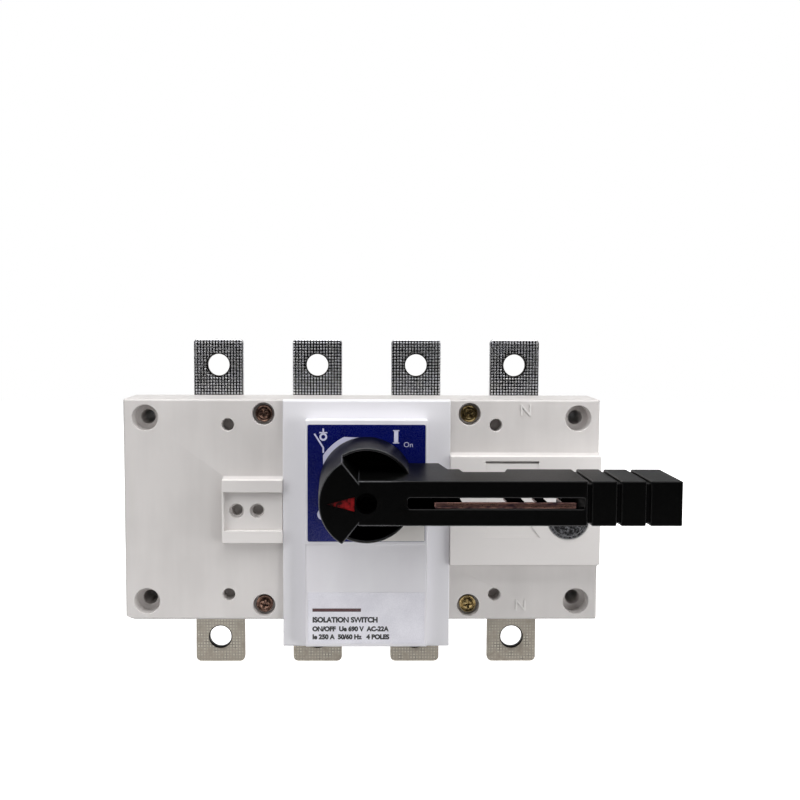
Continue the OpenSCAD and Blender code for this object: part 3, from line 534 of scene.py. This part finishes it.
def pan_head(number, turn, material, slot):
    """Cover screw: a small pan head with a cross recess, on a dished washer, as a grid of rings by angle.

    The height is a profile of the radius. The recess is two crossed slots that narrow outwards, sunk
    below the head with soft walls: each wall is a logistic step of the distance past it.
    """
    left, right, bottom, top, front = extent(f"cover_screw_{number}")
    # A little smaller than the pocket, so that a dark ring shows round it
    radius = 0.46 * (right - left)
    head_height, recess_depth, recess_reach, wall = 3.2, 1.4, 1.95, 0.12
    x, z = (left + right) / 2, (bottom + top) / 2
    seat = front - head_height
    ring = np.concatenate((np.linspace(0.02, 0.94, 40), [0.96, 0.98, 1.0, 1.0])) * radius
    angle = np.linspace(0, 2 * np.pi, 96, endpoint=False)
    r, a = np.meshgrid(ring, angle, indexing="ij")
    u, v = r * np.cos(a - turn), r * np.sin(a - turn)
    # How far the crown, the washer's dish and its rim lie below the top, by share of the radius
    fall = np.interp(r / radius, (0, 0.4, 0.58, 0.64, 0.68, 0.72, 0.92, 0.97, 1),
                     (0, 0.08, 0.3, 0.75, 1.1, 1.15, 0.7, 0.75, 1.0))
    half = 0.5 - 0.03 * r
    slots = [1 / (1 + np.exp((np.abs(across) - half) / wall * 2.2))
             / (1 + np.exp((np.abs(along) - recess_reach) / wall * 2))
             for across, along in ((u, v), (v, u))]
    height = front - fall - recess_depth * np.maximum(*slots) * (1 - 0.15 * r)
    # The last ring is the side wall's foot
    height[-1] = seat
    rows, count = r.shape
    grid = np.stack((x + r * np.cos(a), -height, z + r * np.sin(a)), -1).reshape(-1, 3)
    crown, foot = len(grid), len(grid) + 1
    points = np.vstack((grid, [[x, -height[0, 0], z], [x, -seat, z]])) * MM
    k, j = np.meshgrid(np.arange(rows - 1), np.arange(count), indexing="ij")
    here, beside = k * count + j, k * count + (j + 1) % count
    sides = np.stack((here, here + count, beside + count, beside), -1).reshape(-1, 4)
    j = np.arange(count)
    after = (j + 1) % count
    hub = np.stack((np.full(count, crown), j, after), -1)
    last = (rows - 1) * count
    base = np.stack((np.full(count, foot), last + after, last + j), -1)
    mesh = bpy.data.meshes.new(f"screw_head_{number}")
    mesh.from_pydata(points.tolist(), [], sides.tolist() + hub.tolist() + base.tolist())
    smooth(mesh, 50)
    piece = place(f"screw_head_{number}", mesh, material, "switch", slot)
    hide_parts(f"cover_screw_{number}")


# Screws 1 and 3 are on the left, 2 and 4 on the right; their recesses stand at chance angles
for number, degrees in enumerate((12, 38, -20, 8), start=1):
    finish, slot = (BRONZE, "bronze_screws") if number % 2 else (GOLD, "gold_screws")
    pan_head(number, math.radians(degrees), finish, slot)


# ---- prints and raised marks ----

def ribbon(path, width):
    """A flat stroke: at each point its two sides lie half the width off, along the mitred normal."""
    p = np.asarray(path, float)
    along = np.diff(p, axis=0)
    along /= np.linalg.norm(along, axis=1)[:, None]
    normal = np.stack((-along[:, 1], along[:, 0]), 1)
    before, after = np.vstack((normal[:1], normal)), np.vstack((normal, normal[-1:]))
    mitre = (before + after) / (1 + (before * after).sum(1))[:, None] * width / 2
    return p + mitre, p - mitre


def arc(x, z, radius, start, end, steps=48):
    """Points on a circle about x, z, between two angles in degrees."""
    a = np.radians(np.linspace(start, end, steps))
    return np.stack((x + radius * np.cos(a), z + radius * np.sin(a)), 1)


def thicken(piece, thickness):
    """Gives a flat mark its thickness in mm, backwards from where it lies."""
    solid = piece.modifiers.new("ink", "SOLIDIFY")
    solid.thickness = thickness * MM
    solid.offset = -1


def marks(name, strokes, front, thickness, material, slot):
    """Flat marks: each stroke is a pair of sides, joined by faces, laid at a height and then thickened."""
    points, faces = [], []
    for one, other in strokes:
        start = sum(len(p) for p in points)
        count = len(one)
        points += [one, other]
        k = start + np.arange(count - 1)
        faces.append(np.stack((k, k + 1, k + count + 1, k + count), 1))
    flat = np.vstack(points)
    solid = np.stack((flat[:, 0], np.full(len(flat), -front), flat[:, 1]), 1) * MM
    mesh = bpy.data.meshes.new(name)
    mesh.from_pydata(solid.tolist(), [], np.vstack(faces).tolist())
    turn_forwards(mesh)
    thicken(place(name, mesh, material, "switch", slot), thickness)


def turn_forwards(mesh):
    """Turns every face of a flat mesh so that it looks forwards."""
    turned = bmesh.new()
    turned.from_mesh(mesh)
    for face in turned.faces:
        face.normal_update()
        if face.normal.y > 0:
            face.normal_flip()
    turned.to_mesh(mesh)
    turned.free()


def bar(x0, x1, z0, z1):
    """A rectangle as a pair of sides."""
    return np.array([[x0, z0], [x1, z0]], float), np.array([[x0, z1], [x1, z1]], float)


def outward(mesh, flat):
    """The mitred normal, out of the faces, of the two outline edges that meet at each point of a flat mesh.

    It is the sum of the two unit normals, times two, over its own square. An outline's edge belongs to
    one face only; a point on no outline gets nought. flat holds the points' x and y.
    """
    start = np.array([face.loop_start for face in mesh.polygons])
    count = np.array([face.loop_total for face in mesh.polygons])
    facing = np.repeat([math.copysign(1, face.normal.z) for face in mesh.polygons], count)
    corner = np.zeros(len(mesh.loops), int)
    mesh.loops.foreach_get("vertex_index", corner)
    after = np.arange(len(corner)) + 1
    after[start + count - 1] = start
    one, other = corner, corner[after]
    key = np.minimum(one, other) * len(flat) + np.maximum(one, other)
    _, which, times = np.unique(key, return_inverse=True, return_counts=True)
    rim = times[which] == 1
    along = flat[other[rim]] - flat[one[rim]]
    normal = np.stack((along[:, 1], -along[:, 0]), 1) * facing[rim, None]
    normal /= np.maximum(np.linalg.norm(normal, axis=1), 1e-9)[:, None]
    total = np.zeros_like(flat)
    np.add.at(total, one[rim], normal)
    np.add.at(total, other[rim], normal)
    return 2 * total / np.maximum((total ** 2).sum(1), 1.5)[:, None]


def lettering(name, words, height, x, z, front, thickness, material, slot, middle=True, bolder=0.0):
    """Words cut from the built-in letter shapes: capitals of a height in mm, on a baseline at z.

    They are centred on x, or start there if middle is false. Every outline moves out by bolder.
    """
    curve = bpy.data.curves.new(name, "FONT")
    curve.body = words
    curve.align_x = "CENTER" if middle else "LEFT"
    capital_share = 0.69
    curve.size = height / capital_share
    holder = bpy.data.objects.new(name, curve)
    bpy.context.scene.collection.objects.link(holder)
    bpy.context.view_layer.update()
    evaluated = holder.evaluated_get(bpy.context.evaluated_depsgraph_get())
    mesh = bpy.data.meshes.new_from_object(evaluated)
    bpy.data.objects.remove(holder)
    flat = np.zeros(len(mesh.vertices) * 3)
    mesh.vertices.foreach_get("co", flat)
    flat = flat.reshape(-1, 3)
    flat[:, :2] += bolder * outward(mesh, flat[:, :2])
    solid = np.stack((flat[:, 0] + x, np.full(len(flat), -front), flat[:, 1] + z), 1) * MM
    mesh.vertices.foreach_set("co", solid.ravel())
    mesh.update()
    turn_forwards(mesh)
    thicken(place(name, mesh, material, "switch", slot), thickness)


# A print stands 0.03 mm proud, so that it never fights with the face under it
INK = 0.03
DIAL_INK = DIAL_FRONT + INK


def dial_print():
    """The dial's print: a pale quarter, the position arc and the I and O marks with their words."""
    x, z, edge = AXIS_X, AXIS_Z, 0.2
    # The quarter lies a little lower than the marks
    marks("pale_quarter", [bar(x, DIAL_RIGHT - edge, DIAL_BOTTOM + edge, z)], DIAL_INK - INK / 2, INK,
          PALE, "dial")
    outer, inner = arc(x, z, 24.6, 115.5, 147), arc(x, z, 22.2, 99.2, 158)
    marks("position_arc", [(outer, inner)], DIAL_INK, INK, LILAC, "dial")
    off_x, off_z = x - 20.6, z - 14.8
    marks("off_mark", [ribbon(arc(off_x, off_z, 2.2, 0, 360), 1.2)], DIAL_INK, INK, LILAC, "dial")
    lettering("off_word", "Off", 2.0, off_x + 5.6, off_z - 4.6, DIAL_INK, INK, LILAC, "dial", bolder=-0.03)
    on_x, on_z = x + 14.0, z + 19.1
    stem = bar(on_x - 1.0, on_x + 1.0, on_z + 0.3, on_z + 6.1)
    foot, head = (bar(on_x - 1.5, on_x + 1.5, on_z + low, on_z + low + 0.5) for low in (0, 5.9))
    marks("on_mark", [stem, foot, head], DIAL_INK, INK, LILAC, "dial")
    lettering("on_word", "On", 2.4, on_x + 5.8, on_z - 1.7, DIAL_INK, INK, LILAC, "dial", bolder=-0.03)


def dial_symbol(x, z):
    """Disconnector symbol about its ring's centre: a ring on a stem with a crossbar, and an open blade."""
    line = 0.75
    ring = ribbon(arc(x, z, 1.4, 0, 360, 40), 0.9)
    stem = ribbon([(x, z + 1.8), (x, z + 4.0)], line)
    crossbar = ribbon([(x - 1.9, z + 2.0), (x + 1.9, z + 2.0)], 0.6)
    blade = ribbon([(x - 4.2, z + 1.5), (x, z - 5.1), (x, z - 7.6)], line)
    marks("disconnector_symbol", [ring, stem, crossbar, blade], DIAL_INK, INK, LILAC, "dial")


def label_print():
    """The rating label's print: a plain red rule and rows of generic words and ratings."""
    x, z, front = LABEL_LEFT + 2.2, LABEL_TOP, LABEL_FRONT + INK
    rule = bar(x, x + 23.3, z - 9.4, z - 7.8)
    marks("label_rule", [rule], front, INK, RED_INK, "label")
    # Words, height of the capitals, and drop of the baseline below the label's top
    rows = (("ISOLATION SWITCH", 2.35, 14.5),
            ("ON/OFF  Ue 690 V  AC-22A", 2.1, 18.8),
            ("Ie 250 A  50/60 Hz   4 POLES", 2.1, 22.7))
    for number, (words, height, drop) in enumerate(rows, start=1):
        lettering(f"label_line_{number}", words, height, x, z - drop, front, INK, BLACK_INK, "label",
                  middle=False, bolder=0.21)


def neutral_letters():
    """The raised moulded letters beside the neutral pole's two ends, one worn lower than the other."""
    # The letters' lighter polyester is a painted highlight
    for number, x, z, rise in ((1, 79.5, 46.3, 0.5), (2, 78.0, -49.6, 0.35)):
        lettering(f"neutral_letter_{number}", "N", 5.4, x, z, FACE_FRONT + rise, rise + 0.1,
                  HIGHLIT_POLYESTER, "housing")


dial_print()
dial_symbol(AXIS_X - 20.5, AXIS_Z + 22.2)
label_print()
neutral_letters()


# ---- camera, lights and floor ----

def place_camera():
    """The camera stands in front of the switch, a little above its centre, and looks slightly down."""
    spot = Vector((1.946, -540, 84.73)) * MM
    pitch, yaw, roll = math.radians(3.766), math.radians(0.651), math.radians(0.163)
    forward = Vector((math.sin(yaw) * math.cos(pitch), math.cos(yaw) * math.cos(pitch), -math.sin(pitch)))
    right = Vector((math.cos(yaw), -math.sin(yaw), 0))
    up = right.cross(forward)
    side = math.cos(roll) * right + math.sin(roll) * up
    top = -math.sin(roll) * right + math.cos(roll) * up
    data = bpy.data.cameras.new("camera")
    camera = bpy.data.objects.new("camera", data)
    bpy.context.scene.collection.objects.link(camera)
    # A standard sensor and lens in mm; the shift is the share of the width that frames the switch
    data.sensor_width = 36
    data.lens = 44.739
    data.shift_x = 0.0282625
    data.shift_y = 0.00175
    data.clip_start = 0.01
    turn = Matrix((side, top, -forward)).transposed().to_4x4()
    camera.matrix_world = Matrix.Translation(spot) @ turn
    bpy.context.scene.camera = camera


def softbox(name, spot, size, power, mirrored):
    """A rectangular soft light at a spot, in metres, that faces the switch; gloss may leave it out."""
    data = bpy.data.lights.new(name, "AREA")
    data.shape = "RECTANGLE"
    data.size, data.size_y = size
    data.energy = power
    lamp = bpy.data.objects.new(name, data)
    bpy.context.scene.collection.objects.link(lamp)
    lamp.location = spot
    lamp.rotation_euler = (Vector((0, -0.06, 0)) - Vector(spot)).to_track_quat("-Z", "Y").to_euler()
    lamp.visible_glossy = mirrored


def panel(name, corners, brightness):
    """A flat white sheet of the studio that glows evenly; it isn't part of the switch."""
    mesh = bpy.data.meshes.new(name)
    mesh.from_pydata(corners, [], [(0, 1, 2, 3)])
    sheet = bpy.data.objects.new(name, mesh)
    bpy.context.scene.collection.objects.link(sheet)
    mesh.materials.append(begin(name, Base_Color=srgb("F4F4F4"), Roughness=0.8,
                                Emission_Color=srgb("FFFFFF"), Emission_Strength=brightness)[0])
    # The sheets show and are mirrored, but the lamps alone light the switch
    sheet.visible_diffuse = False
    sheet.visible_shadow = False
    return sheet


def studio():
    """White surroundings, a dim fill from all round, and soft lights above, in front, behind and beside."""
    scene = bpy.context.scene
    scene.view_settings.view_transform = "Standard"
    world = bpy.data.worlds.new("studio")
    scene.world = world
    world.use_nodes = True
    tree = world.node_tree
    fill = tree.nodes["Background"]
    fill.inputs["Color"].default_value = (1, 1, 1, 1)
    fill.inputs["Strength"].default_value = 0.04
    seen = add(tree, "Background", {"Color": (1, 1, 1, 1), "Strength": 1.0})["Background"]
    ray = add(tree, "LightPath", {})["Is Camera Ray"]
    both = add(tree, "MixShader", {0: ray, 1: fill.outputs[0], 2: seen})["Shader"]
    tree.links.new(both, tree.nodes["World Output"].inputs["Surface"])
    # Name, spot and size in metres, power in watts, and whether gloss mirrors it
    for lamp in (("overhead", (0.0, -0.25, 0.95), (1.1, 0.7), 9.0, True),
                 ("high", (0.0, -0.85, 0.95), (1.8, 0.6), 5.2, True),
                 ("rear", (0.0, 1.0, 0.8), (1.8, 0.6), 8.0, False),
                 ("left", (-1.2, -0.85, 0.35), (0.8, 1.2), 8.2, False),
                 ("right", (1.2, -0.85, 0.0), (0.8, 1.2), 13.4, False),
                 ("low", (0.0, -0.8, -0.75), (1.8, 0.6), 1.9, False)):
        softbox(*lamp)
    under = CAD_BOX[0][2] - 0.0005
    wide, near, far, behind, high = 1.5, -0.3, 2.0, 1.5, 1.2
    panel("floor", [(-wide, near, under), (wide, near, under), (wide, far, under),
                    (-wide, far, under)], 1.0)
    back = panel("backdrop", [(-wide, behind, under), (wide, behind, under), (wide, behind, high),
                              (-wide, behind, high)], 0.05)
    back.visible_camera = False


place_camera()
studio()
